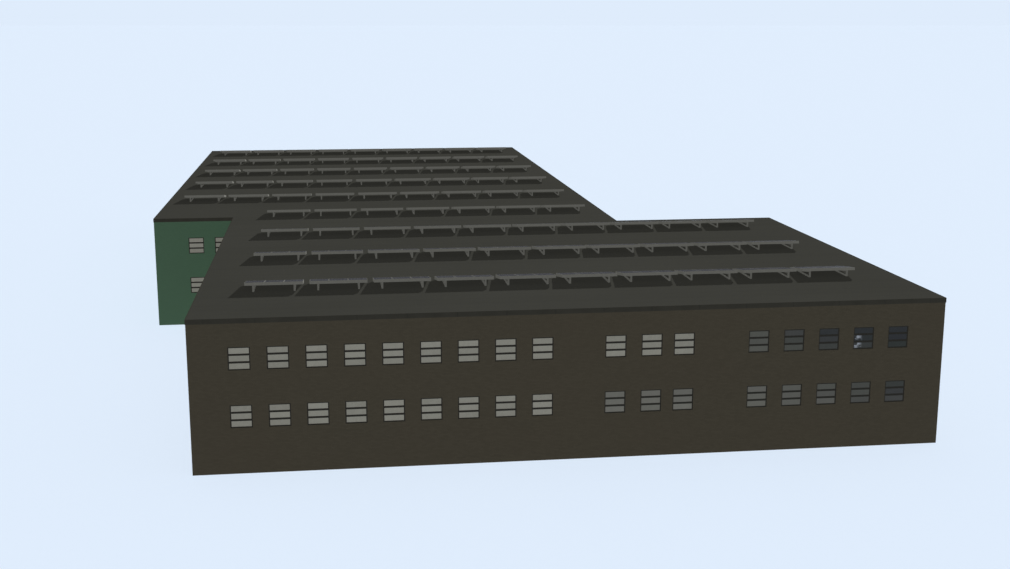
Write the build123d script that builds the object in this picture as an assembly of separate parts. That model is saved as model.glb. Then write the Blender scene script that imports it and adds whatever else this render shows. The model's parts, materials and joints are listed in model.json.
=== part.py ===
"""Two-storey factory building with racks of solar panels on its flat roof, as a 1:10 scale model.

One metre of the real building is 100 mm here, and all sizes below are in model millimetres.
+Z is up, the long front wall faces -Y, and the origin is on the ground at the middle of the outline.
A front block runs the full width of the front. A narrower rear block is joined to its back,
stands out past its left side and stops short of its right side, so the outline is Z-shaped.
"""
import math
import os

from build123d import *

# Outline, measured over the roof's edge trim
FRONT_WIDTH = 3928.0        # front block along X
FRONT_DEPTH = 2824.0        # front block along Y, at its right side
REAR_WIDTH = 3351.0         # rear block along X
REAR_STEP_OUT = 574.0       # how far the rear block stands out past the front block's left side
REAR_SET_BACK = 3335.0      # from the front to the rear block's own front wall
TOTAL_LENGTH = 8319.0       # front to back

# Shell
ROOF_TOP = 800.0
ROOF_THICKNESS = 24.0
TRIM_THICKNESS = 3.0        # edge trim around the roof, which is all that stands out past the walls
TRIM_RISE = 1.5             # the trim's lip above the roof surface
TRIM_GAP = 0.5              # expansion gap where two lengths of trim meet
WALL_THICKNESS = 30.0
FLOOR_THICKNESS = 25.0
UPPER_FLOOR_TOP = 440.0

# Windows, the same in both storeys
WINDOW_WIDTH = 110.0
WINDOW_HEIGHT = 118.0
WINDOW_PITCH = 190.0
LOWER_SILL = 240.0
UPPER_SILL = 537.5
REVEAL = 2.0                # from the wall's face back to the window frame
FRAME_WIDTH = 5.0
FRAME_DEPTH = 8.0
GLASS_THICKNESS = 2.0
END_MARGIN = 190.0          # least wall between a corner and the nearest window

# Front wall: one row of regular bays, two of them blank, and one window that stands closer in
FRONT_FIRST_WINDOW = 250.0  # from the left corner to the first window's middle
FRONT_BLANK_BAYS = (9, 13)
FRONT_SHIFTED_BAY = 12
FRONT_BAY_SHIFT = -19.0
STEP_FIRST_WINDOW = 297.0   # the same on the rear block's short front wall
STEP_END_MARGIN = 10.0      # least wall between its last window and the front block

# Solar racks: tilted panels on pairs of open triangular brackets, high edge to the front
PANEL_LENGTH = 312.0        # along X
PANEL_DEPTH = 205.0         # up the slope
PANEL_THICKNESS = 16.5
PANEL_GAP = 34.5            # between neighbours in a row
FIRST_PANEL = 250.0         # from the front block's left side to the first panel of the front rows
ROOF_MARGIN = 115.0         # least roof between a panel's end and the roof's side
BRACKET_HEIGHT = 35.0       # at its front leg
BRACKET_BASE = 200.0
BRACKET_WIDTH = 10.0        # along X
BRACKET_BAR = 5.0           # bar depth in the triangle's own plane
BRACKET_INSET = 41.0        # from a panel's end to the bracket's side

# Rows of racks, each placed by the front legs of its brackets
FRONT_ROWS = 3
REAR_ROWS = 5
FRONT_FIRST_ROW = 630.0     # behind the front wall
FRONT_LAST_ROW = 394.0      # ahead of the front block's back
LINK_ROW = 5.0              # the single row between the blocks, ahead of the rear block's own front
REAR_FIRST_ROW = 895.0      # behind the rear block's own front
REAR_LAST_ROW = 489.0       # ahead of the rear block's back

# Places that follow from them
LEFT = -(REAR_STEP_OUT + FRONT_WIDTH) / 2
RIGHT = -LEFT
FRONT = -TOTAL_LENGTH / 2
BACK = -FRONT
FRONT_LEFT = LEFT + REAR_STEP_OUT
REAR_RIGHT = LEFT + REAR_WIDTH
FRONT_BACK = FRONT + FRONT_DEPTH
REAR_FRONT = FRONT + REAR_SET_BACK
WALL_TOP = ROOF_TOP - ROOF_THICKNESS
WINDOW_SILLS = (LOWER_SILL, UPPER_SILL)
PANEL_PITCH = PANEL_LENGTH + PANEL_GAP
BRACKET_TILT = math.atan((BRACKET_HEIGHT - BRACKET_BAR) / BRACKET_BASE)


def save(shapes, name):
    """Write one node: a single solid, or several that stay apart."""
    shapes = list(shapes)
    shape = shapes[0] if len(shapes) == 1 else Compound(children=shapes)
    export_step(shape, os.path.join("parts", name + ".step"))


def box(low, high):
    """A block between its lowest and highest corners."""
    size = [h - l for l, h in zip(low, high)]
    return Pos(*low) * Box(*size, align=(Align.MIN, Align.MIN, Align.MIN))


def outline(inset):
    """The Z-shaped plan as a face, moved in from the roof's edge on every side."""
    i = inset
    corners = [
        (FRONT_LEFT + i, FRONT + i), (RIGHT - i, FRONT + i),
        (RIGHT - i, FRONT_BACK - i), (REAR_RIGHT - i, FRONT_BACK - i),
        (REAR_RIGHT - i, BACK - i), (LEFT + i, BACK - i),
        (LEFT + i, REAR_FRONT + i), (FRONT_LEFT + i, REAR_FRONT + i),
    ]
    return make_face(Polyline(*corners, close=True))


def slab(inset, bottom, top):
    """A flat plate of the plan's shape."""
    return extrude(Pos(0, 0, bottom) * outline(inset), top - bottom)


def even_bays(length):
    """Window middles along a wall: as many regular bays as fit, centred on its length."""
    room = length - 2 * END_MARGIN - WINDOW_WIDTH
    count = int(room // WINDOW_PITCH) + 1
    first = (length - (count - 1) * WINDOW_PITCH) / 2
    return [first + WINDOW_PITCH * bay for bay in range(count)]


def bays_from(first, length, margin):
    """Window middles from a first one on, as far as the wall has room for regular bays."""
    count = int((length - first - WINDOW_WIDTH / 2 - margin) // WINDOW_PITCH) + 1
    return [first + WINDOW_PITCH * bay for bay in range(count)]


def front_bays(length):
    """Window middles along the front wall, from its left corner."""
    middles = []
    for bay, middle in enumerate(bays_from(FRONT_FIRST_WINDOW, length, END_MARGIN)):
        shift = FRONT_BAY_SHIFT if bay == FRONT_SHIFTED_BAY else 0.0
        if bay not in FRONT_BLANK_BAYS:
            middles.append(middle + shift)
    return middles


def wall_pieces(length, start, end, middles):
    """A wall, its window frames and its panes, with its outer face on Y = 0 and X from its left corner.

    The wall stands from start to end: it stops short of length where another wall closes the corner.
    """
    wall = box((start, 0, 0), (end, WALL_THICKNESS, WALL_TOP))
    frame_back = REVEAL + FRAME_DEPTH
    glass_front = REVEAL + (FRAME_DEPTH - GLASS_THICKNESS) / 2
    glass_back = glass_front + GLASS_THICKNESS
    holes, frames, panes = [], [], []
    for middle in middles:
        left, right = middle - WINDOW_WIDTH / 2, middle + WINDOW_WIDTH / 2
        inner_left, inner_right = left + FRAME_WIDTH, right - FRAME_WIDTH
        for sill in WINDOW_SILLS:
            head = sill + WINDOW_HEIGHT
            inner_sill, inner_head = sill + FRAME_WIDTH, head - FRAME_WIDTH
            holes.append(box((left, -1, sill), (right, WALL_THICKNESS + 1, head)))
            ring = box((left, REVEAL, sill), (right, frame_back, head))
            ring -= box((inner_left, 0, inner_sill), (inner_right, WALL_THICKNESS, inner_head))
            frames.append(ring)
            panes.append(box((inner_left, glass_front, inner_sill), (inner_right, glass_back, inner_head)))
    return wall - holes, frames, panes


def place_wall(name, corner, facing, length, start, end, middles):
    """Stand a wall at its left corner, seen from outside, and save its three nodes.

    facing is the turn about Z from a wall that faces -Y.
    """
    wall, frames, panes = wall_pieces(length, start, end, middles)
    stand = Pos(*corner, 0) * Rot(0, 0, facing)
    save([stand * wall], name + "_wall")
    save([stand * frame for frame in frames], name + "_window_frames")
    save([stand * pane for pane in panes], name + "_glass")


def make_walls():
    """All eight walls. Walls along X run to the outer corners, and walls along Y fit between them."""
    t, e = WALL_THICKNESS, TRIM_THICKNESS
    left, right, front, back = LEFT + e, RIGHT - e, FRONT + e, BACK - e
    front_left, rear_right = FRONT_LEFT + e, REAR_RIGHT - e
    front_back, rear_front = FRONT_BACK - e, REAR_FRONT + e

    length = right - front_left
    place_wall("front", (front_left, front), 0, length, 0, length, front_bays(length))

    length = front_back - front
    place_wall("front_block_right", (right, front), 90, length, t, length - t, even_bays(length))

    length = right - rear_right
    place_wall("front_block_back", (right, front_back), 180, length, 0, length + t, even_bays(length))

    length = back - front_back
    place_wall("rear_block_right", (rear_right, front_back), 90, length, 0, length - t, even_bays(length))

    length = rear_right - left
    place_wall("rear_block_back", (rear_right, back), 180, length, 0, length, even_bays(length))

    length = back - rear_front
    place_wall("rear_block_left", (left, back), 270, length, t, length - t, even_bays(length))

    length = front_left - left
    middles = bays_from(STEP_FIRST_WINDOW, length, STEP_END_MARGIN)
    place_wall("rear_block_front", (left, rear_front), 0, length, 0, length + t, middles)

    length = rear_front - front
    place_wall("front_block_left", (front_left, rear_front), 270, length, 0, length - t, even_bays(length))


def trim_lengths():
    """The eight straight lengths of edge trim: those along X turn the corners, those along Y butt to them."""
    t, gap = TRIM_THICKNESS, TRIM_GAP
    along_x = [
        (FRONT_LEFT, RIGHT, FRONT), (REAR_RIGHT - t, RIGHT, FRONT_BACK - t),
        (LEFT, REAR_RIGHT, BACK - t), (LEFT, FRONT_LEFT + t, REAR_FRONT),
    ]
    along_y = [
        (RIGHT - t, FRONT + t, FRONT_BACK - t), (REAR_RIGHT - t, FRONT_BACK, BACK - t),
        (LEFT, REAR_FRONT + t, BACK - t), (FRONT_LEFT, FRONT + t, REAR_FRONT),
    ]
    low, high = WALL_TOP, ROOF_TOP + TRIM_RISE
    lengths = [box((x0, y, low), (x1, y + t, high)) for x0, x1, y in along_x]
    lengths += [box((x, y0 + gap, low), (x + t, y1 - gap, high)) for x, y0, y1 in along_y]
    return lengths


def make_slabs():
    """The two floors between the walls, the roof that lies on the walls, and the trim round its edge."""
    inside = TRIM_THICKNESS + WALL_THICKNESS
    save([slab(inside, 0, FLOOR_THICKNESS)], "ground_floor_slab")
    save([slab(inside, UPPER_FLOOR_TOP - FLOOR_THICKNESS, UPPER_FLOOR_TOP)], "upper_floor_slab")
    save([slab(TRIM_THICKNESS, WALL_TOP, ROOF_TOP)], "roof_slab")
    save(trim_lengths(), "roof_edge_trim")


def side_profile(points, left, width):
    """A solid from a closed outline in the Y-Z plane, from X = left."""
    face = make_face(Plane.YZ * Polyline(*points, close=True))
    return Pos(left, 0, 0) * extrude(face, width, dir=(1, 0, 0))


def panel(left, front):
    """One tilted panel, whose underside starts on top of the brackets' front legs."""
    run, drop = math.cos(BRACKET_TILT), math.sin(BRACKET_TILT)
    low_front = (front, ROOF_TOP + BRACKET_HEIGHT)
    low_back = (low_front[0] + PANEL_DEPTH * run, low_front[1] - PANEL_DEPTH * drop)
    up = (PANEL_THICKNESS * drop, PANEL_THICKNESS * run)
    high_back = (low_back[0] + up[0], low_back[1] + up[1])
    high_front = (low_front[0] + up[0], low_front[1] + up[1])
    return side_profile([low_front, low_back, high_back, high_front], left, PANEL_LENGTH)


def bracket(left, front):
    """One open triangular bracket: front leg, base on the roof, and the bar that the panel lies on."""
    slope = math.tan(BRACKET_TILT)
    bar, base, height = BRACKET_BAR, BRACKET_BASE, BRACKET_HEIGHT
    outside = [(0, 0), (base, 0), (base, height - base * slope), (0, height)]
    under_bar = bar / math.cos(BRACKET_TILT)
    hole_top = height - bar * slope - under_bar
    hole_end = bar + (hole_top - bar) / slope
    hole = [(bar, bar), (hole_end, bar), (bar, hole_top)]
    lift = [[(front + y, ROOF_TOP + z) for y, z in points] for points in (outside, hole)]
    solid = side_profile(lift[0], left, BRACKET_WIDTH)
    return solid - side_profile(lift[1], left - 1, BRACKET_WIDTH + 2)


def even_rows(first, last, count):
    """Places of a block's rows, evenly spaced from its first to its last."""
    return [first + (last - first) * row / (count - 1) for row in range(count)]


def save_row(number, front, first, right_side):
    """One row of racks: panels from place number first on, as far as the roof has room."""
    start = FRONT_LEFT + FIRST_PANEL + PANEL_PITCH * first
    count = int((right_side - ROOF_MARGIN - start + PANEL_GAP) // PANEL_PITCH)
    panels, brackets = [], []
    for place in range(count):
        left = start + PANEL_PITCH * place
        right = left + PANEL_LENGTH
        panels.append(panel(left, front))
        brackets.append(bracket(left + BRACKET_INSET, front))
        brackets.append(bracket(right - BRACKET_INSET - BRACKET_WIDTH, front))
    save(panels, f"row_{number}_solar_panels")
    save(brackets, f"row_{number}_brackets")


def make_racks():
    """Every row from the front. Each is one node of panels and one of brackets."""
    front_rows = even_rows(FRONT + FRONT_FIRST_ROW, FRONT_BACK - FRONT_LAST_ROW, FRONT_ROWS)
    rear_rows = even_rows(REAR_FRONT + REAR_FIRST_ROW, BACK - REAR_LAST_ROW, REAR_ROWS)
    rear_first = -int((REAR_STEP_OUT + FIRST_PANEL - ROOF_MARGIN) // PANEL_PITCH)
    rows = [(place, 0, RIGHT) for place in front_rows]
    rows += [(REAR_FRONT - LINK_ROW, 0, REAR_RIGHT)]
    rows += [(place, rear_first, REAR_RIGHT) for place in rear_rows]
    for number, (place, first, right_side) in enumerate(rows, start=1):
        save_row(number, place, first, right_side)


os.makedirs("parts", exist_ok=True)
make_walls()
make_slabs()
make_racks()
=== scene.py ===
"""Looks of the factory building: brickwork, windows, roof covering, edge trim and solar racks.

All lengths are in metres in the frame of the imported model. It is a 1:10 scale model,
so one metre of the real building is 0.1 here.
"""
import json
import math

import bmesh
import bpy
import numpy as np
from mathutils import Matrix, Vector

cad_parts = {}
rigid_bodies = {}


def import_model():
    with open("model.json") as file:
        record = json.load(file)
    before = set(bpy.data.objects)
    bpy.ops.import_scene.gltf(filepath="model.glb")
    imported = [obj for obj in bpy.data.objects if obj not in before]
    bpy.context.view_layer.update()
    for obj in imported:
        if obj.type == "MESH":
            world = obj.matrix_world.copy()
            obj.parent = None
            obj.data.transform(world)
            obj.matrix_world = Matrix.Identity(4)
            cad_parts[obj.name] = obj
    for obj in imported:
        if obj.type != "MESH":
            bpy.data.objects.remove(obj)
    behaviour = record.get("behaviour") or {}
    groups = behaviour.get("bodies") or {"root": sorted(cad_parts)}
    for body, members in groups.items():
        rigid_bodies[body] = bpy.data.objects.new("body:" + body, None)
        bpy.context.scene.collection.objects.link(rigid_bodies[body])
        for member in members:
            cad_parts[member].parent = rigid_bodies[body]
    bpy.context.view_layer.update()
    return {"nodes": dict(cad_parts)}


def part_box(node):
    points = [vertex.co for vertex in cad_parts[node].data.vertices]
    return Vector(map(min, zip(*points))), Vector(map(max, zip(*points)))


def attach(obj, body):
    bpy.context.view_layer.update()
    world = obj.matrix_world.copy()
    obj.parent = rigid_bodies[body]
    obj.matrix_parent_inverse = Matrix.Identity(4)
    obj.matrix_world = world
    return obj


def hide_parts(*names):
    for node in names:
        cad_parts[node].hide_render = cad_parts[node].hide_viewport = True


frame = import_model()

# Brickwork, true to scale
BRICK_PITCH = 0.0225        # one stretcher and its joint
COURSE_PITCH = 0.0075
JOINT = 0.001
BRICK_RELIEF = 0.0010       # how far bricks stand out of the mortar
RELIEF_SPREAD = 0.00018
BRICK_SINK = 0.0005         # how far a brick reaches back into the wall
LEAST_CUT_BRICK = 0.003     # a shorter end is left on the brick beside it
# Walls whose bricks are all modelled. The others have modelled courses, and the joints within a course are
# colour, darker than the mortar as painted shade of a recessed joint, and bump.
BRICK_BY_BRICK = {"front", "front_block_right", "front_block_back", "front_block_left", "rear_block_front",
                  "rear_block_back"}

# Windows
BAR_HEIGHT = 0.0092
BAR_DEPTH = 0.0052
BAR_CHAMFER = 0.0009
BAR_SETBACK = 0.0004        # behind the frame's face
PUTTY_WIDTH = 0.0007
PUTTY_DEPTH = 0.0008
PUTTY_EDGE = 0.0002         # its depth at the thin edge
PANES = 3                   # one above the other in each window
PANE_THICKNESS = 0.0008
PANE_SETBACK = 0.0016       # behind the frame's face
PANE_LEAN = 0.00010         # how far a corner of a pane is out of true

# Roof covering
FELT_WIDTH = 0.1
LAP_WIDTH = 0.009
LAP_HEIGHT = 0.00010

# Edge trim
TRIM_SHEET = 0.25
TRIM_SEAM = 0.008           # as a share of a sheet

# Solar units
MODULES = 3
MODULE_GAP = 0.002
MODULE_HEIGHT = 0.004
MODULE_LIP = 0.0014
GLASS_RECESS = 0.0002       # this and the next three are depths under a module's top
GLASS_BOTTOM = 0.0012
BACKSHEET_TOP = 0.0013
BACKSHEET_BOTTOM = 0.0018
EDGE_BEAM = 0.0045
RAIL_WIDTH = 0.006
RAIL_BOTTOM = 0.002         # above the underside of the panel
RAIL_PLACES = (0.22, 0.78)  # along the slope, as shares of the panel
CLAMP = (0.0052, 0.0040, 0.0002)    # along, down the slope and thick
CELLS_ACROSS = 6
CELLS_ALONG = 12
CELL_EDGE = 0.484           # from a cell's middle to the gap beside it, as a share of a cell
BUSBARS = 3.0

# Light, measured by how much of it a white surface that faces it sends back. Strengths are given.
KEY_FROM = (0.457, 0.838, 0.295)
KEY_ANGLE = 0.6             # degrees
KEY_LIGHT = 3.0
WORLD_LIGHT = 0.15
FILL_LIGHT = 0.86
FILLS = {"above": (0, 0, 1), "front": (0, -1, 0), "back": (0, 1, 0), "left": (-1, 0, 0), "right": (1, 0, 0)}
BACKDROP = (0.738, 0.839, 0.973)

GREEN_WALLS = {"rear_block_front", "rear_block_left", "rear_block_back", "rear_block_right"}
dice = np.random.default_rng(7)


# ---------------------------------------------------------------- camera, light and floor

def add_camera():
    """Stands in front of the building's left part, above roof height, turned a little to the right."""
    data = bpy.data.cameras.new("camera")
    data.sensor_width = 36.0
    data.lens = 46.04
    data.clip_end = 500.0
    camera = bpy.data.objects.new("camera", data)
    camera.location = (-0.9450, -10.4471, 2.2444)
    camera.rotation_euler = (math.radians(90 - 11.655), math.radians(-0.045), math.radians(-7.653))
    bpy.context.scene.collection.objects.link(camera)
    bpy.context.scene.camera = camera


def add_world(colour, light):
    """Even light from all round, behind a plain pale backdrop."""
    world = bpy.data.worlds.new("studio")
    bpy.context.scene.world = world
    world.use_nodes = True
    tree = world.node_tree
    tree.nodes.clear()
    backdrop = tree.nodes.new("ShaderNodeBackground")
    backdrop.inputs["Color"].default_value = (*colour, 1)
    even = tree.nodes.new("ShaderNodeBackground")
    even.inputs["Color"].default_value = (1, 1, 1, 1)
    even.inputs["Strength"].default_value = light
    path = tree.nodes.new("ShaderNodeLightPath")
    mix = tree.nodes.new("ShaderNodeMixShader")
    out = tree.nodes.new("ShaderNodeOutputWorld")
    tree.links.new(path.outputs["Is Camera Ray"], mix.inputs[0])
    tree.links.new(even.outputs[0], mix.inputs[1])
    tree.links.new(backdrop.outputs[0], mix.inputs[2])
    tree.links.new(mix.outputs[0], out.inputs["Surface"])


def add_floor(colour):
    """A plain pale floor that runs out to the backdrop."""
    half = 400.0
    mesh = bpy.data.meshes.new("floor")
    corners = [(-half, -half, 0), (half, -half, 0), (half, half, 0), (-half, half, 0)]
    mesh.from_pydata(corners, [], [(0, 1, 2, 3)])
    floor = bpy.data.objects.new("floor", mesh)
    bpy.context.scene.collection.objects.link(floor)
    paint = Shader("floor", roughness=1.0, specular=0.0)
    paint.surface.inputs["Base Color"].default_value = (*colour, 1)
    mesh.materials.append(paint.material)


def add_sun(name, light_from, strength, lit):
    """A distant light that leaves no highlights. lit is the collection it lights, or None for everything."""
    data = bpy.data.lights.new(name, "SUN")
    data.energy = strength * math.pi
    data.angle = math.radians(KEY_ANGLE)
    sun = bpy.data.objects.new(name, data)
    sun.rotation_euler = Vector(light_from).to_track_quat("Z", "Y").to_euler()
    sun.visible_glossy = False
    bpy.context.scene.collection.objects.link(sun)
    if lit:
        sun.light_linking.receiver_collection = lit
    return data


def add_fills():
    """Shadowless light from above and from four sides, so that shaded corners stay readable."""
    for name, light_from in FILLS.items():
        fill = add_sun("fill_" + name, light_from, FILL_LIGHT, None)
        fill.use_shadow = False


# ---------------------------------------------------------------- materials

class Shader:
    """A procedural material in the making."""

    def __init__(self, name, roughness, specular):
        self.material = bpy.data.materials.new(name)
        self.material.use_nodes = True
        self.tree = self.material.node_tree
        self.surface = self.tree.nodes["Principled BSDF"]
        self.surface.inputs["Roughness"].default_value = roughness
        self.surface.inputs["Specular IOR Level"].default_value = specular

    def node(self, kind, inputs, out=0, **settings):
        """Add a node. Its inputs are values or the outputs of other nodes. Returns one of its outputs."""
        made = self.tree.nodes.new("ShaderNode" + kind)
        for key, value in settings.items():
            setattr(made, key, value)
        for key, value in inputs.items():
            if isinstance(value, bpy.types.NodeSocket):
                self.tree.links.new(value, made.inputs[key])
            else:
                made.inputs[key].default_value = value
        return made.outputs[out]

    def math(self, operation, a, b=0.0):
        return self.node("Math", {0: a, 1: b}, operation=operation)

    def position(self):
        """Where a point is on the building, in metres."""
        return self.node("TexCoord", {}, out="Object")

    def scaled(self, vector, scale):
        return self.node("VectorMath", {0: vector, 1: scale}, operation="MULTIPLY")

    def split(self, vector):
        made = self.node("SeparateXYZ", {0: vector}).node
        return made.outputs[0], made.outputs[1], made.outputs[2]

    def noise(self, vector, scale, detail=3.0, rough=0.55):
        inputs = {"Vector": vector, "Scale": scale, "Detail": detail, "Roughness": rough}
        return self.node("TexNoise", inputs)

    def spread(self, value, low, high):
        """Stretch a noise that keeps to its middle so that low and high become 0 and 1."""
        return self.node("MapRange", {"Value": value, "From Min": low, "From Max": high})

    def tint(self, factor, a, b):
        """A colour between a and b."""
        a, b = [(*c, 1) if isinstance(c, tuple) else c for c in (a, b)]
        return self.node("Mix", {0: factor, 6: a, 7: b}, out=2, data_type="RGBA")

    def paint(self, colour):
        self.tree.links.new(colour, self.surface.inputs["Base Color"])

    def vary_roughness(self, value, low, high):
        spread = {"Value": value, "To Min": low, "To Max": high}
        self.tree.links.new(self.node("MapRange", spread), self.surface.inputs["Roughness"])

    def bump(self, height, distance, strength=1.0):
        made = self.node("Bump", {"Height": height, "Distance": distance, "Strength": strength})
        self.tree.links.new(made, self.surface.inputs["Normal"])


def brick_material(name, dark, light, warm, mortar_and_shade, specular):
    """Bricks of many tones in stretcher bond. The lay attribute counts bricks and courses."""
    m = Shader(name, roughness=0.88, specular=specular)
    along, up, wall = m.split(m.node("Attribute", {}, out="Vector", attribute_name="lay"))
    course = m.math("FLOOR", up)
    shifted = m.math("ADD", along, m.math("MULTIPLY", m.math("FLOORED_MODULO", course, 2.0), 0.5))
    brick = m.math("FLOOR", shifted)
    name_of_brick = m.node("CombineXYZ", {0: brick, 1: course, 2: wall})
    tone = m.node("TexWhiteNoise", {"Vector": name_of_brick}, noise_dimensions="3D")
    spot = m.position()
    grain = m.noise(spot, 900.0, 4.0, 0.7)
    patch = m.spread(m.noise(spot, 2.2, 4.0), 0.3, 0.7)
    tone = m.math("ADD", m.math("MULTIPLY", tone, 0.72), m.math("MULTIPLY", grain, 0.4))
    tone = m.math("MULTIPLY", tone, 0.9)
    colour = m.tint(tone, dark, light)
    colour = m.tint(m.math("MULTIPLY", patch, 0.4), colour, warm)
    across = m.math("ABSOLUTE", m.math("SUBTRACT", m.math("FRACT", shifted), 0.5))
    joint = m.math("GREATER_THAN", across, 0.5 - JOINT / BRICK_PITCH / 2)
    # Painted shade: the joints take a colour darker than the wall's mortar, for the shade in a recessed
    # joint.
    m.paint(m.tint(joint, colour, mortar_and_shade))
    height = m.math("SUBTRACT", m.math("MULTIPLY", grain, 0.35), joint)
    m.bump(height, 0.0008)
    return m.material


def mortar_material(name, colour, inside):
    """The wall behind the bricks: mortar outside and in the joints, with a sandy grain."""
    m = Shader(name, roughness=0.95, specular=0.1)
    spot = m.position()
    grain = m.noise(spot, 700.0, 5.0, 0.7)
    patch = m.spread(m.noise(spot, 3.0), 0.3, 0.7)
    m.paint(m.tint(m.math("MULTIPLY", m.math("ADD", grain, patch), 0.5), colour, inside))
    m.bump(grain, 0.0004)
    return m.material


def concrete_material():
    m = Shader("concrete", roughness=0.9, specular=0.2)
    spot = m.position()
    cloud = m.spread(m.noise(spot, 3.0, 6.0), 0.3, 0.7)
    speck = m.noise(spot, 500.0, 4.0, 0.7)
    tone = m.math("MULTIPLY", m.math("ADD", cloud, speck), 0.5)
    m.paint(m.tint(tone, (0.20, 0.19, 0.17), (0.33, 0.32, 0.29)))
    m.bump(speck, 0.0003)
    return m.material


def felt_material(name, dark, light):
    """Mineral felt: fine granules, and the large faint patches of old rain."""
    m = Shader(name, roughness=1.0, specular=0.0)
    spot = m.position()
    granule = m.noise(spot, 1400.0, 3.0, 0.8)
    patch = m.spread(m.noise(spot, 0.9, 5.0, 0.6), 0.3, 0.7)
    sheet = m.math("FLOOR", m.math("DIVIDE", m.split(spot)[1], FELT_WIDTH))
    sheet_tone = m.node("TexWhiteNoise", {"W": sheet}, noise_dimensions="1D")
    tone = m.math("ADD", m.math("MULTIPLY", granule, 0.5), m.math("MULTIPLY", patch, 0.35))
    tone = m.math("ADD", tone, m.math("MULTIPLY", sheet_tone, 0.15))
    m.paint(m.tint(tone, dark, light))
    m.bump(granule, 0.0001, 0.5)
    return m.material


def trim_material():
    """Dark coated sheet metal with a seam at every sheet's end and a little dust."""
    m = Shader("edge_trim_coating", roughness=0.8, specular=0.03)
    spot = m.position()
    x, y, _ = m.split(spot)
    place = m.math("FRACT", m.math("DIVIDE", m.math("ADD", x, y), TRIM_SHEET))
    seam = m.math("LESS_THAN", place, TRIM_SEAM)
    dust = m.spread(m.noise(spot, 14.0, 5.0), 0.35, 0.75)
    colour = m.tint(m.math("MULTIPLY", dust, 0.5), (0.0177, 0.0168, 0.0133), (0.0247, 0.0234, 0.0190))
    m.paint(m.tint(seam, colour, (0.014, 0.014, 0.012)))
    m.vary_roughness(dust, 0.65, 0.9)
    m.bump(m.math("SUBTRACT", m.math("MULTIPLY", dust, 0.1), seam), 0.0006)
    return m.material


def frame_material():
    """Dark paint on the window frames and bars, worn paler at places."""
    m = Shader("window_frame_paint", roughness=0.6, specular=0.1)
    spot = m.position()
    worn = m.spread(m.noise(spot, 60.0, 6.0, 0.7), 0.62, 0.8)
    brush = m.noise(m.scaled(spot, (40.0, 40.0, 400.0)), 6.0)
    colour = m.tint(brush, (0.0095, 0.0090, 0.0070), (0.0150, 0.0140, 0.0115))
    m.paint(m.tint(m.math("MULTIPLY", worn, 0.4), colour, (0.035, 0.033, 0.028)))
    m.vary_roughness(brush, 0.5, 0.75)
    m.bump(brush, 0.0002)
    return m.material


def pane_material():
    """Window glass: pale dusty panes, dark ones of painted shade and painted reflection by each pane's clear
    attribute, and painted glints in some.
    """
    m = Shader("window_pane", roughness=0.2, specular=0.2)
    clear = m.node("Attribute", {}, out="Fac", attribute_name="clear")
    own = m.node("Attribute", {}, out="Fac", attribute_name="own_tone")
    spot = m.position()
    film = m.spread(m.noise(spot, 25.0, 8.0, 0.7), 0.25, 0.75)
    dusty = m.math("MULTIPLY", m.math("ADD", own, film), 0.5)
    pale = m.tint(dusty, (0.122, 0.117, 0.096), (0.157, 0.151, 0.125))
    # The dark colour is painted shade: the unlit rooms that clear glass would show.
    dark = m.tint(own, (0.0088, 0.0112, 0.0086), (0.0096, 0.0100, 0.0110))
    # Painted reflection: faint upright streaks of sky on the dark panes.
    painted_sky_streak = m.spread(m.noise(m.scaled(spot, (1.0, 1.0, 2.6)), 16.0, 4.0, 0.6), 0.35, 0.75)
    dark = m.tint(m.math("MULTIPLY", painted_sky_streak, 0.06), dark, (0.048, 0.050, 0.046))
    # Painted reflections: bright patches at the left of the panes picked for them.
    painted_glint = m.spread(m.noise(m.scaled(spot, (1.0, 1.0, 1.3)), 50.0, 3.0, 0.5), 0.46, 0.60)
    bright_end = m.node("Attribute", {}, out="Fac", attribute_name="bright_end")
    painted_glint = m.math("MULTIPLY", painted_glint, m.spread(bright_end, 0.55, 0.75))
    dark = m.tint(painted_glint, dark, (0.15, 0.16, 0.18))
    m.paint(m.tint(clear, pale, dark))
    m.vary_roughness(m.math("MULTIPLY", film, m.math("SUBTRACT", 1.15, clear)), 0.08, 0.42)
    m.bump(m.noise(spot, 9.0, 2.0), 0.0006, 0.1)
    return m.material


def cell_material():
    """Solar cells under glass. The cell attribute counts cells along and up each module."""
    m = Shader("solar_cells", roughness=0.3, specular=0.12)
    across, along, unit = m.split(m.node("Attribute", {}, out="Vector", attribute_name="cell"))
    name_of_cell = m.node("CombineXYZ", {0: m.math("FLOOR", across), 1: m.math("FLOOR", along), 2: unit})
    own = m.node("TexWhiteNoise", {"Vector": name_of_cell}, noise_dimensions="3D")
    crystal = m.node("TexVoronoi", {"Vector": m.position(), "Scale": 420.0}, out="Color")
    crystal = m.math("MULTIPLY", m.split(crystal)[0], 0.6)
    tone = m.math("ADD", m.math("MULTIPLY", own, 0.4), crystal)
    blue = m.tint(tone, (0.0080, 0.0083, 0.0110), (0.0170, 0.0185, 0.0260))
    gap = None
    for share in (across, along):
        middle = m.math("ABSOLUTE", m.math("SUBTRACT", m.math("FRACT", share), 0.5))
        edge = m.math("GREATER_THAN", middle, CELL_EDGE)
        gap = edge if gap is None else m.math("MAXIMUM", gap, edge)
    strip = m.math("ABSOLUTE", m.math("SUBTRACT", m.math("FRACT", m.math("MULTIPLY", across, BUSBARS)), 0.5))
    busbar = m.math("LESS_THAN", strip, 0.03)
    colour = m.tint(m.math("MULTIPLY", busbar, 0.5), blue, (0.13, 0.13, 0.13))
    m.paint(m.tint(gap, colour, (0.075, 0.078, 0.080)))
    dust = m.noise(m.position(), 30.0, 5.0)
    m.vary_roughness(dust, 0.25, 0.45)
    return m.material


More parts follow.
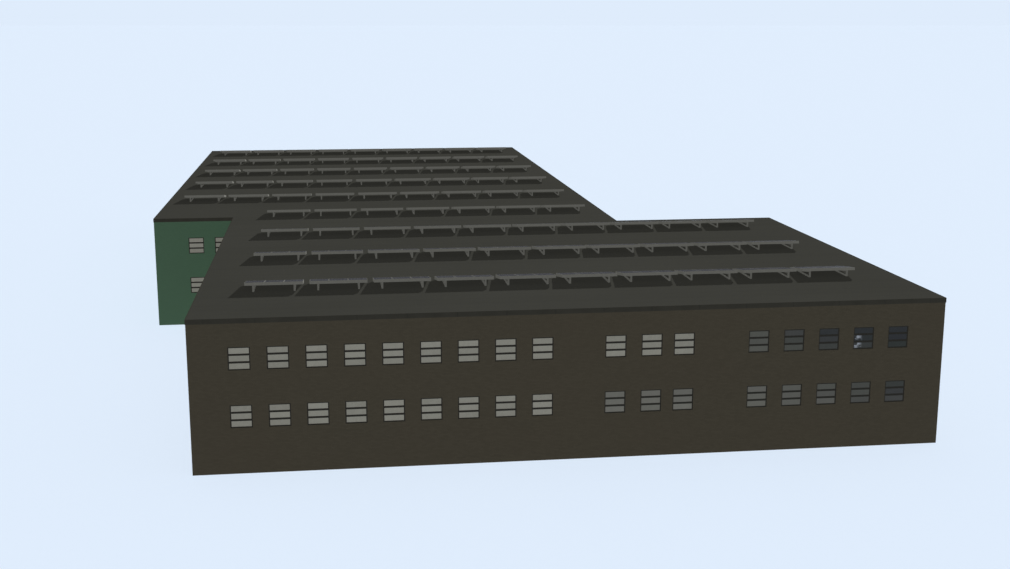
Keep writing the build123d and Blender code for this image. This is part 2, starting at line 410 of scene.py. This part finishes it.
def metal_material(name, dark, light, roughness):
    """The racks' dull metal, and the modules' back sheets: faint flowers, and fine lines drawn along X."""
    m = Shader(name, roughness=roughness, specular=0.1)
    spot = m.position()
    flower = m.node("TexVoronoi", {"Vector": spot, "Scale": 260.0}, out="Color")
    drawn = m.noise(m.scaled(spot, (6.0, 260.0, 260.0)), 2.0)
    tone = m.math("ADD", m.math("MULTIPLY", m.split(flower)[0], 0.4), m.math("MULTIPLY", drawn, 0.6))
    m.paint(m.tint(tone, dark, light))
    m.vary_roughness(tone, roughness - 0.1, roughness + 0.15)
    m.bump(drawn, 0.0001, 0.5)
    return m.material


# ---------------------------------------------------------------- making and placing meshes

def quad_piece(name, points, quads, material, attributes=None):
    """One object made of four-sided faces, which rides on the building."""
    points = np.asarray(points, np.float32).reshape(-1, 3)
    quads = np.asarray(quads, np.int32).reshape(-1, 4)
    mesh = bpy.data.meshes.new(name)
    mesh.vertices.add(len(points))
    mesh.vertices.foreach_set("co", points.ravel())
    mesh.loops.add(quads.size)
    mesh.loops.foreach_set("vertex_index", quads.ravel())
    mesh.polygons.add(len(quads))
    mesh.polygons.foreach_set("loop_start", np.arange(0, quads.size, 4, dtype=np.int32))
    for key, (kind, field, values) in (attributes or {}).items():
        layer = mesh.attributes.new(key, kind, "POINT")
        layer.data.foreach_set(field, np.asarray(values, np.float32).ravel())
    mesh.update(calc_edges=True)
    mesh.shade_flat()
    mesh.materials.append(material)
    made = bpy.data.objects.new(name, mesh)
    bpy.context.scene.collection.objects.link(made)
    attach(made, "root")
    return made


# The eight corners of a block are counted low to high along each of its three axes.
# A facing has no quad at the low end of its second axis, where it is set in the wall.
FACING_QUADS = np.array([(0, 1, 3, 2), (4, 6, 7, 5), (2, 3, 7, 6), (0, 2, 6, 4), (1, 5, 7, 3)])
BLOCK_QUADS = np.concatenate([FACING_QUADS, [(0, 4, 5, 1)]])


class Blocks:
    """Many closed blocks in one mesh, each between two corners in its own three directions."""

    def __init__(self):
        self.points = []
        self.count = 0

    def add(self, origin, axes, low, high):
        corners = [(x, y, z) for x in (low[0], high[0]) for y in (low[1], high[1]) for z in (low[2], high[2])]
        self.add_corners(origin, axes, corners)

    def add_corners(self, origin, axes, corners):
        """A block whose eight corners are given one by one, in the order of BLOCK_QUADS."""
        self.points.append(np.asarray(origin) + np.asarray(corners) @ np.asarray(axes))
        self.count += 1

    def quads(self):
        return (BLOCK_QUADS[None] + 8 * np.arange(self.count)[:, None, None]).reshape(-1, 4)

    def piece(self, name, material, slot, attributes=None):
        return quad_piece(name, np.concatenate(self.points), self.quads(), material, attributes)


def solids(node):
    """The corner points of each separate solid of a CAD node, ordered by place."""
    work = bmesh.new()
    work.from_mesh(frame["nodes"][node].data)
    bmesh.ops.remove_doubles(work, verts=work.verts, dist=1e-5)
    work.verts.ensure_lookup_table()
    seen, found = set(), []
    for start in work.verts:
        if start in seen:
            continue
        seen.add(start)
        group, todo = [], [start]
        while todo:
            vertex = todo.pop()
            group.append(tuple(vertex.co))
            for edge in vertex.link_edges:
                other = edge.other_vert(vertex)
                if other not in seen:
                    seen.add(other)
                    todo.append(other)
        found.append(np.array(group))
    work.free()
    return sorted(found, key=lambda points: tuple(np.round(points.min(0), 4)))


class Wall:
    """One outer wall face. u runs to the right seen from outside, d out of the wall and z up.

    Its start_turn and end_turn are 1 at an outer corner of the building and -1 at an inner one.
    """

    def __init__(self, number, name, left, right):
        self.number, self.name = number, name
        self.left = np.array([left[0], left[1], 0.0])
        run = np.array([right[0] - left[0], right[1] - left[1], 0.0])
        self.length = float(np.linalg.norm(run))
        along = run / self.length
        out = np.array([along[1], -along[0], 0.0])
        self.axes = np.array([along, out, (0.0, 0.0, 1.0)])
        self.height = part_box(name + "_wall")[1].z
        rings = solids(name + "_window_frames")
        self.windows = sorted(self.local_box(points) for points in rings)

    def local_box(self, points):
        """A solid's (u0, u1, z0, z1, d0, d1) on this wall."""
        inside = (points - self.left) @ self.axes.T
        low, high = inside.min(0), inside.max(0)
        return tuple(float(v) for v in (low[0], high[0], low[2], high[2], low[1], high[1]))


def outer_walls():
    """The eight walls from corner to corner, in order round the building from the front's left end."""
    front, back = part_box("front_wall"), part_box("rear_block_back_wall")
    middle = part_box("front_block_back_wall")
    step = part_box("rear_block_front_wall")
    front_left, right = front[0].x, front[1].x
    left, rear_right = back[0].x, back[1].x
    corners = [
        (front_left, front[0].y), (right, front[0].y), (right, middle[1].y), (rear_right, middle[1].y),
        (rear_right, back[1].y), (left, back[1].y), (left, step[0].y), (front_left, step[0].y),
    ]
    names = [
        "front", "front_block_right", "front_block_back", "rear_block_right",
        "rear_block_back", "rear_block_left", "rear_block_front", "front_block_left",
    ]
    ends = corners[1:] + corners[:1]
    walls = [Wall(i, name, a, b) for i, (name, a, b) in enumerate(zip(names, corners, ends))]
    for wall, following in zip(walls, walls[1:] + walls[:1]):
        turn = np.cross(wall.axes[0], following.axes[0])[2]
        wall.end_turn = following.start_turn = round(turn)
    return walls


# ---------------------------------------------------------------- brickwork

def courses(wall):
    """Bottom and top of every course, gauged so that whole courses meet each sill and head."""
    levels = sorted({0.0, wall.height} | {round(z, 5) for window in wall.windows for z in window[2:4]})
    rows = []
    for low, high in zip(levels, levels[1:]):
        count = round((high - low) / COURSE_PITCH)
        step = (high - low) / count
        rows += [(low + step * i, low + step * (i + 1)) for i in range(count)]
    return rows


def free_runs(wall, course, low, high):
    """The stretches of a course between windows and corners.

    Neighbouring walls take turns, course by course, to run over an outer corner or to stop short
    at an inner one.
    """
    reach = BRICK_RELIEF if (course + wall.number) % 2 == 0 else 0.0
    middle = (low + high) / 2
    cuts = sorted((w[0], w[1]) for w in wall.windows if w[2] < middle < w[3])
    starts = [-reach * wall.start_turn] + [right for left, right in cuts]
    ends = [left for left, right in cuts] + [wall.length + reach * wall.end_turn]
    return list(zip(starts, ends))


def bricks_in(start, end, course):
    """The bricks of a run in stretcher bond, cut at its ends."""
    shift = 0.5 * (course % 2)
    first = math.ceil((start + LEAST_CUT_BRICK) / BRICK_PITCH + shift)
    last = math.floor((end - LEAST_CUT_BRICK) / BRICK_PITCH + shift)
    joints = [(joint - shift) * BRICK_PITCH for joint in range(first, last + 1)]
    lefts = [start] + [joint + JOINT / 2 for joint in joints]
    rights = [joint - JOINT / 2 for joint in joints] + [end]
    return list(zip(lefts, rights))


def add_brickwork(wall, material):
    """Bricks, or whole courses, that stand out of the mortar and turn round the corners."""
    single = wall.name in BRICK_BY_BRICK
    spans = []
    for course, (low, high) in enumerate(courses(wall)):
        for start, end in free_runs(wall, course, low, high):
            lengths = bricks_in(start, end, course) if single else [(start, end)]
            spans += [(u0, u1, low, high, course) for u0, u1 in lengths]
    spans = np.array(spans)
    u0, u1, low, high, course = spans.T
    relief = BRICK_RELIEF + RELIEF_SPREAD * dice.uniform(-1, 1, len(spans))
    z0, z1 = low + JOINT / 2, high - JOINT / 2
    points = np.empty((len(spans), 8, 3))
    lay = np.empty((len(spans), 8, 3))
    for corner in range(8):
        u = (u0, u1)[corner // 4]
        d = (np.full(len(spans), -BRICK_SINK), relief)[corner // 2 % 2]
        z = (z0, z1)[corner % 2]
        points[:, corner] = wall.left + np.stack([u, d, z], 1) @ wall.axes
        place = ((u0 + u1) / 2 if single else u) / BRICK_PITCH
        lay[:, corner] = np.stack([place, course + (0.1, 0.9)[corner % 2], np.full(len(u), wall.number)], 1)
    quads = (FACING_QUADS[None] + 8 * np.arange(len(spans))[:, None, None]).reshape(-1, 4)
    attributes = {"lay": ("FLOAT_VECTOR", "vector", lay)}
    quad_piece(wall.name + "_brickwork", points.reshape(-1, 3), quads, material, attributes)


# ---------------------------------------------------------------- windows

def pane_clearness(wall, window, place):
    """How clear and dark a pane is: pale all along, and darker upwards and towards the front's right end.

    The curves along the wall are given.
    """
    share = (window[0] + window[1]) / 2 / wall.length
    upstairs = window[2] > wall.height / 2
    if wall.name != "front" or share < (0.7 if upstairs else 0.5):
        return 0.0
    if upstairs:
        clear = 0.99 - 0.29 * max(0.0, (0.93 - share) / 0.188) ** 2
    else:
        clear = 0.47 + 0.45 * ((share - 0.56) / 0.376) ** 2
    return clear + 0.035 * (place - 1) + dice.uniform(-0.03, 0.03)


def has_painted_glints(wall, window, place):
    """Whether painted reflections, bright patches, go on a pane: the lower two of the last upstairs window
    but one.
    """
    return wall.name == "front" and window == wall.windows[-3] and place < 2


def add_windows(wall, frame_paint, pane_glass):
    """Two bars across each window, three panes between them, and the putty that holds each pane."""
    bars, putty, panes = Blocks(), Blocks(), Blocks()
    clear, own_tone, bright_end = [], [], []
    ring = frame_width(wall)
    for window in wall.windows:
        u0, u1, z0, z1, _, d1 = window
        u0, u1, z0, z1 = u0 + ring, u1 - ring, z0 + ring, z1 - ring
        opening = (z1 - z0 - (PANES - 1) * BAR_HEIGHT) / PANES
        front = d1 - BAR_SETBACK
        glass = d1 - PANE_SETBACK
        for place in range(PANES):
            low = z0 + place * (opening + BAR_HEIGHT)
            high = low + opening
            if place < PANES - 1:
                add_bar(bars, wall, (u0, u1), high, front)
            add_putty(putty, wall, (u0, u1, low, high), glass)
            lean = dice.uniform(-PANE_LEAN, PANE_LEAN, 4)
            corners = []
            for i, u in enumerate((u0, u1)):
                for back in (-PANE_THICKNESS, 0.0):
                    for j, z in enumerate((low, high)):
                        corners.append((u, glass + back + lean[2 * i + j], z))
            panes.add_corners(wall.left, wall.axes, corners)
            # How far each pane takes the painted shade and painted reflections of the dark panes.
            clear += [float(np.clip(pane_clearness(wall, window, place), 0, 1))] * 8
            own_tone += [dice.uniform(0, 1)] * 8
            # Where painted reflections go: the left end of the panes picked for them.
            bright_end += [float(has_painted_glints(wall, window, place))] * 4 + [0.0] * 4
    bars.piece(wall.name + "_window_bars", frame_paint, "window_frame")
    putty.piece(wall.name + "_window_putty", frame_paint, "window_frame")
    values = {"clear": clear, "own_tone": own_tone, "bright_end": bright_end}
    attributes = {key: ("FLOAT", "value", numbers) for key, numbers in values.items()}
    glazing = panes.piece(wall.name + "_panes", pane_glass, "window_glass", attributes)
    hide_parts(wall.name + "_glass")


def frame_width(wall):
    """The face width of the window frames: the glass node's panes fill what the frames leave."""
    panes = [wall.local_box(points) for points in solids(wall.name + "_glass")]
    return min(p[0] for p in panes) - min(w[0] for w in wall.windows)


def add_bar(bars, wall, run, bottom, front):
    """A bar with a chamfered face: the body and a narrower nose."""
    top, back = bottom + BAR_HEIGHT, front - BAR_DEPTH
    shoulder = front - BAR_CHAMFER
    bars.add(wall.left, wall.axes, (run[0], back, bottom), (run[1], shoulder, top))
    corners = []
    for u in run:
        for d, inset in ((shoulder, 0.0), (front, BAR_CHAMFER)):
            corners += [(u, d, bottom + inset), (u, d, top - inset)]
    bars.add_corners(wall.left, wall.axes, corners)


def add_putty(putty, wall, opening, glass):
    """Four sloping fillets of putty round a pane, mitred at its corners."""
    u0, u1, z0, z1 = opening
    w, out = PUTTY_WIDTH, glass + PUTTY_DEPTH
    outer = [(u0, z0), (u1, z0), (u1, z1), (u0, z1)]
    inner = [(u0 + w, z0 + w), (u1 - w, z0 + w), (u1 - w, z1 - w), (u0 + w, z1 - w)]
    for i in range(4):
        j = (i + 1) % 4
        corners = []
        for k in (i, j):
            corners += [(outer[k][0], glass, outer[k][1]), (inner[k][0], glass, inner[k][1])]
            corners += [(outer[k][0], out, outer[k][1]), (inner[k][0], glass + PUTTY_EDGE, inner[k][1])]
        putty.add_corners(wall.left, wall.axes, corners)


# ---------------------------------------------------------------- roof covering

def add_felt_laps(material):
    """The raised edge of every sheet of felt, across the whole roof."""
    low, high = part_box("roof_slab")
    front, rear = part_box("front_wall"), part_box("rear_block_back_wall")
    front_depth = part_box("front_block_back_wall")[1].y
    rear_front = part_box("rear_block_front_wall")[0].y
    strips = Blocks()
    axes = np.eye(3)
    count = int((high.y - low.y) / FELT_WIDTH)
    for sheet in range(1, count):
        y = low.y + sheet * FELT_WIDTH
        left = front[0].x if y < rear_front else rear[0].x
        right = front[1].x if y < front_depth else rear[1].x
        strips.add((0, 0, 0), axes, (left, y, high.z), (right, y + LAP_WIDTH, high.z + LAP_HEIGHT))
    strips.piece("roof_felt_laps", material, "roofing")


# ---------------------------------------------------------------- solar racks

def slope_frame(points):
    """A tilted slab's front lower left corner, its axes along, down the slope and out of it, and its size."""
    left = points[:, 0].min()
    side = points[np.abs(points[:, 0] - left) < 1e-4]
    front_low = side[side[:, 1].argmin()]
    back_low = side[side[:, 2].argmin()]
    front_high = side[side[:, 2].argmax()]
    down, out = back_low - front_low, front_high - front_low
    size = (points[:, 0].max() - left, float(np.linalg.norm(down)), float(np.linalg.norm(out)))
    axes = np.array([(1.0, 0.0, 0.0), down / size[1], out / size[2]])
    return front_low, axes, size


def add_unit(metal, cells, sheets, points):
    """One rack's panel: edge beams, rails, and three framed modules with clamps between them."""
    origin, axes, (length, depth, top) = slope_frame(points)
    bed, lip = top - MODULE_HEIGHT, MODULE_LIP

    def bar(low, high):
        metal.add(origin, axes, low, high)

    bar((0, 0, 0), (length, EDGE_BEAM, bed))
    bar((0, depth - EDGE_BEAM, 0), (length, depth, bed))
    for x in (0, length - EDGE_BEAM):
        bar((x, EDGE_BEAM, 0), (x + EDGE_BEAM, depth - EDGE_BEAM, bed))
    for share in RAIL_PLACES:
        s = share * depth
        bar((EDGE_BEAM, s - RAIL_WIDTH / 2, RAIL_BOTTOM), (length - EDGE_BEAM, s + RAIL_WIDTH / 2, bed))
    width = (length - (MODULES - 1) * MODULE_GAP) / MODULES
    for module in range(MODULES):
        x0 = module * (width + MODULE_GAP)
        x1 = x0 + width
        bar((x0, 0, bed), (x1, lip, top))
        bar((x0, depth - lip, bed), (x1, depth, top))
        bar((x0, lip, bed), (x0 + lip, depth - lip, top))
        bar((x1 - lip, lip, bed), (x1, depth - lip, top))
        near, far = (x0 + lip, lip), (x1 - lip, depth - lip)
        cells.add(origin, axes, (*near, top - GLASS_BOTTOM), (*far, top - GLASS_RECESS))
        sheets.add(origin, axes, (*near, top - BACKSHEET_BOTTOM), (*far, top - BACKSHEET_TOP))
        if module:
            for share in RAIL_PLACES:
                s, x = share * depth, x0 - MODULE_GAP / 2
                low = (x - CLAMP[0] / 2, s - CLAMP[1] / 2, top - CLAMP[2])
                bar(low, (x + CLAMP[0] / 2, s + CLAMP[1] / 2, top))


def cell_counts(cells, row):
    """For each glass block's corners, how many cells across and along they are, and the module's number."""
    counts = []
    for module in range(cells.count):
        for corner in range(8):
            across, along = corner // 4, corner // 2 % 2
            counts.append((CELLS_ACROSS * across, CELLS_ALONG * along, row * 100.0 + module))
    return {"cell": ("FLOAT_VECTOR", "vector", counts)}


def add_racks(rack_metal, cell_glass, backsheet):
    row = 1
    while f"row_{row}_solar_panels" in frame["nodes"]:
        metal, cells, sheets = Blocks(), Blocks(), Blocks()
        for points in solids(f"row_{row}_solar_panels"):
            add_unit(metal, cells, sheets, points)
        frames = metal.piece(f"row_{row}_module_frames", rack_metal, "rack_metal")
        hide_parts(f"row_{row}_solar_panels")
        cells.piece(f"row_{row}_module_cells", cell_glass, "solar_panel", cell_counts(cells, row))
        sheets.piece(f"row_{row}_module_backs", backsheet, "solar_panel")
        row += 1


# ---------------------------------------------------------------- putting it together

def assign(node, material):
    """Give a CAD node its material, in place of the plain one."""
    mesh = frame["nodes"][node].data
    mesh.materials.clear()
    mesh.materials.append(material)


def build():
    walls = outer_walls()
    # Each brick's fourth colour paints the joints within a course darker than the wall's mortar, as painted
    # shade.
    brown = brick_material(
        "brown_brick", (0.0302, 0.0264, 0.0186), (0.0367, 0.0321, 0.0228), (0.0344, 0.0286, 0.0203),
        (0.0205, 0.0180, 0.0131), 0.03,
    )
    green = brick_material(
        "green_painted_brick", (0.0335, 0.0615, 0.0383), (0.0372, 0.0686, 0.0428), (0.0359, 0.0630, 0.0399),
        (0.0235, 0.0430, 0.0270), 0.03,
    )
    brown_mortar = mortar_material("brown_mortar", (0.0267, 0.0228, 0.0171), (0.0314, 0.0276, 0.0200))
    green_mortar = mortar_material("green_mortar", (0.0302, 0.0553, 0.0342), (0.0342, 0.0623, 0.0392))
    frame_paint, pane_glass = frame_material(), pane_material()
    for wall in walls:
        is_green = wall.name in GREEN_WALLS
        add_brickwork(wall, green if is_green else brown)
        assign(wall.name + "_wall", green_mortar if is_green else brown_mortar)
        assign(wall.name + "_window_frames", frame_paint)
        add_windows(wall, frame_paint, pane_glass)
    concrete = concrete_material()
    assign("ground_floor_slab", concrete)
    assign("upper_floor_slab", concrete)
    felt = felt_material("roof_felt", (0.0218, 0.0218, 0.0187), (0.0272, 0.0272, 0.0236))
    assign("roof_slab", felt)
    add_felt_laps(felt_material("roof_felt_laps", (0.0214, 0.0214, 0.0183), (0.0268, 0.0268, 0.0232)))
    assign("roof_edge_trim", trim_material())
    rack_metal = metal_material("rack_metal", (0.0766, 0.0766, 0.0693), (0.1036, 0.1036, 0.0942), 0.7)
    backsheet = metal_material("module_backsheet", (0.050, 0.052, 0.052), (0.070, 0.072, 0.072), 0.6)
    add_racks(rack_metal, cell_material(), backsheet)
    row = 1
    while f"row_{row}_brackets" in frame["nodes"]:
        assign(f"row_{row}_brackets", rack_metal)
        row += 1


def building_collection():
    """Every piece of the building, for the key light."""
    lit = bpy.data.collections.new("building")
    for thing in bpy.data.objects:
        if thing.type == "MESH" and thing.name != "floor":
            lit.objects.link(thing)
    return lit


bpy.context.scene.view_settings.view_transform = "Standard"
add_camera()
add_world(BACKDROP, WORLD_LIGHT)
add_floor(BACKDROP)
build()
add_fills()
add_sun("key", KEY_FROM, KEY_LIGHT, building_collection())
